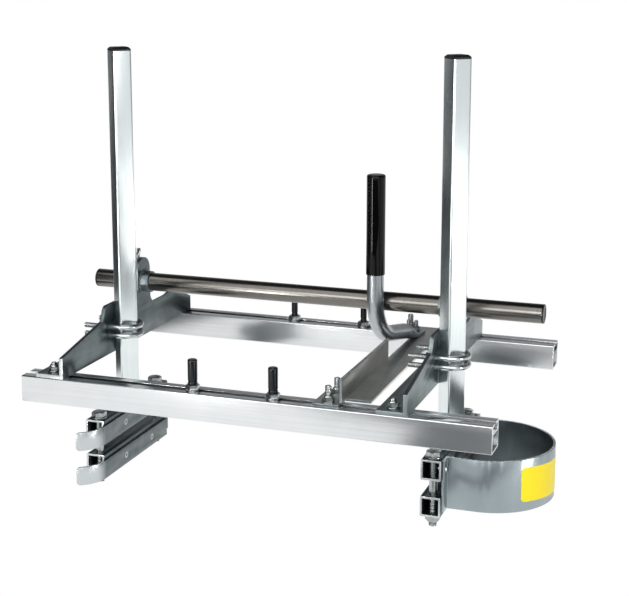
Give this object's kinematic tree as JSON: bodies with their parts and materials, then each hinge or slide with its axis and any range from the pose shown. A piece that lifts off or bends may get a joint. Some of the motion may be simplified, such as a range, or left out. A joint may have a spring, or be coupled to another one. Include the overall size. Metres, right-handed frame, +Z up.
{
  "type": "log saw stand",
  "caption": "Portable stand that clamps a chainsaw's guide bar under two slotted rails on height-adjustable posts, to saw boards from a log.",
  "frame": {"origin": "on the ground under the middle of the stand's bounding box", "axes": "+X along the rails from the powerhead end to the bar's nose end, +Y from the front rail to the rear rail, +Z up"},
  "size_m": [0.6682, 0.397, 0.5629],
  "materials": {
    "rail_aluminium": "brushed anodised aluminium extrusion",
    "post_zinc": "bright zinc plated square tube",
    "bracket_zinc": "grey zinc coated plate",
    "jaw_steel": "dark grey coated square tube",
    "skid_steel": "brushed zinc plated strip",
    "guard_steel": "brushed zinc plated sheet",
    "polished_bar": "polished nickel plated tube",
    "fastener_zinc": "zinc plated fasteners",
    "stud_steel": "dark polished steel studs",
    "black_plastic": "moulded black polyethylene",
    "black_grip": "dip moulded black vinyl"
  },
  "bodies": {
    "frame": {"front_rail": "rail_aluminium", "rear_rail": "rail_aluminium"},
    "left_bracket": {"left_end_bracket": "bracket_zinc", "left_bar_sleeve": "bracket_zinc", "left_u_bolts": "fastener_zinc", "left_u_bolt_nuts": "fastener_zinc", "left_foot_bolts": "fastener_zinc", "left_foot_nuts": "fastener_zinc"},
    "right_bracket": {"right_end_bracket": "bracket_zinc", "right_bar_sleeve": "bracket_zinc", "right_u_bolts": "fastener_zinc", "right_u_bolt_nuts": "fastener_zinc", "right_foot_bolts": "fastener_zinc", "right_foot_nuts": "fastener_zinc"},
    "left_wing": {"left_wing_screw": "fastener_zinc"},
    "right_wing": {"right_wing_screw": "fastener_zinc"},
    "push_bar_set": {"push_bar": "polished_bar", "push_bar_plugs": "black_plastic"},
    "left_post_set": {"left_post": "post_zinc", "left_post_cap": "black_plastic", "left_upper_jaw": "jaw_steel", "left_upper_skid": "skid_steel", "left_upper_skid_screws": "fastener_zinc", "left_jaw_bolts": "fastener_zinc"},
    "left_jaw_set": {"left_lower_jaw": "jaw_steel", "left_lower_skid": "skid_steel", "left_lower_skid_screws": "fastener_zinc", "left_jaw_nuts": "fastener_zinc"},
    "right_post_set": {"right_post": "post_zinc", "right_post_cap": "black_plastic", "right_upper_jaw": "jaw_steel", "nose_guard": "guard_steel", "guard_screws": "fastener_zinc", "right_jaw_bolts": "fastener_zinc"},
    "right_jaw_set": {"right_lower_jaw": "jaw_steel", "right_jaw_nuts": "fastener_zinc"},
    "cross_set": {"cross_bracket": "bracket_zinc", "cross_foot_bolts": "fastener_zinc", "cross_foot_nuts": "fastener_zinc", "handle_tube": "polished_bar", "handle_grip": "black_grip", "handle_bolts": "fastener_zinc", "handle_nuts": "fastener_zinc"},
    "front_left_stop": {"front_left_stud": "stud_steel", "front_left_stud_nut": "fastener_zinc"},
    "front_right_stop": {"front_right_stud": "stud_steel", "front_right_stud_nut": "fastener_zinc"},
    "rear_left_stop": {"rear_left_stud": "stud_steel", "rear_left_stud_nut": "fastener_zinc"},
    "rear_right_stop": {"rear_right_stud": "stud_steel", "rear_right_stud_nut": "fastener_zinc"}
  },
  "joints": [
    {"name": "left_bracket_slide", "type": "slide", "parent": "frame", "child": "left_bracket", "axis": [1, 0, 0], "range_m": [-0.028, 0.115]},
    {"name": "right_bracket_slide", "type": "slide", "parent": "frame", "child": "right_bracket", "axis": [1, 0, 0], "range_m": [-0.002, 0.09]},
    {"name": "push_bar_slide", "type": "slide", "parent": "frame", "child": "push_bar_set", "axis": [1, 0, 0], "range_m": [-0.01, 0.03]},
    {"name": "cross_bracket_slide", "type": "slide", "parent": "frame", "child": "cross_set", "axis": [1, 0, 0], "range_m": [-0.02, 0.01]},
    {"name": "left_post_slide", "type": "slide", "parent": "left_bracket", "child": "left_post_set", "axis": [0, 0, 1], "range_m": [-0.262, 0.035]},
    {"name": "right_post_slide", "type": "slide", "parent": "right_bracket", "child": "right_post_set", "axis": [0, 0, 1], "range_m": [-0.262, 0.035]},
    {"name": "left_jaw_slide", "type": "slide", "parent": "left_post_set", "child": "left_jaw_set", "axis": [0, 0, 1], "range_m": [0, 0.018]},
    {"name": "right_jaw_slide", "type": "slide", "parent": "right_post_set", "child": "right_jaw_set", "axis": [0, 0, 1], "range_m": [0, 0.018]},
    {"name": "left_wing_turn", "type": "hinge", "parent": "left_bracket", "child": "left_wing", "pos_m": [-0.27383, 0.036, 0.2609], "axis": [0, 0, 1], "range_deg": [0, 360]},
    {"name": "right_wing_turn", "type": "hinge", "parent": "right_bracket", "child": "right_wing", "pos_m": [0.17616, 0.036, 0.2609], "axis": [0, 0, 1], "range_deg": [0, 360]},
    {"name": "front_left_stop_slide", "type": "slide", "parent": "frame", "child": "front_left_stop", "axis": [1, 0, 0], "range_m": [-0.04, 0.04]},
    {"name": "front_right_stop_slide", "type": "slide", "parent": "frame", "child": "front_right_stop", "axis": [1, 0, 0], "range_m": [-0.04, 0.02]},
    {"name": "rear_left_stop_slide", "type": "slide", "parent": "frame", "child": "rear_left_stop", "axis": [1, 0, 0], "range_m": [-0.04, 0.04]},
    {"name": "rear_right_stop_slide", "type": "slide", "parent": "frame", "child": "rear_right_stop", "axis": [1, 0, 0], "range_m": [-0.04, 0.02]}
  ]
}
